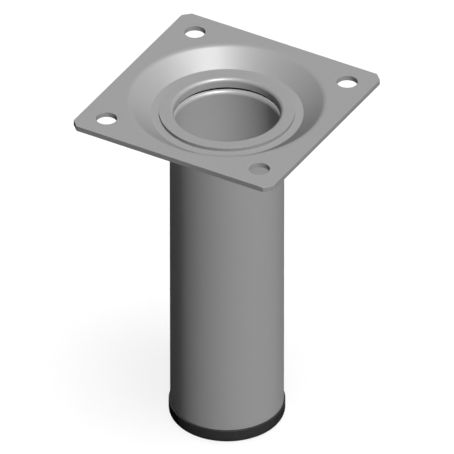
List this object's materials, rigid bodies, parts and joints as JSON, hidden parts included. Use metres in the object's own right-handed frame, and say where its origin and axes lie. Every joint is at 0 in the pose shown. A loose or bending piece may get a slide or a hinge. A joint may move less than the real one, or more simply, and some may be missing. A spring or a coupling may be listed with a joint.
{
  "type": "furniture leg",
  "caption": "Short round furniture leg: dished square steel plate with screw holes, straight tube rolled fast to it, and a plastic foot cap.",
  "frame": {"origin": "centre of the foot cap's underside", "axes": "+Z along the tube's axis, up to the mounting plate; the plate's edges run along X and Y"},
  "size_m": [0.06, 0.06, 0.0993],
  "materials": {
    "plate_steel": "silver grey lacquer, satin",
    "tube_steel": "silver grey lacquer, satin",
    "cap_plastic": "black moulded plastic, fine matt"
  },
  "bodies": {
    "root": {"mounting_plate": "plate_steel", "leg_tube": "tube_steel", "foot_cap": "cap_plastic"}
  },
  "joints": []
}
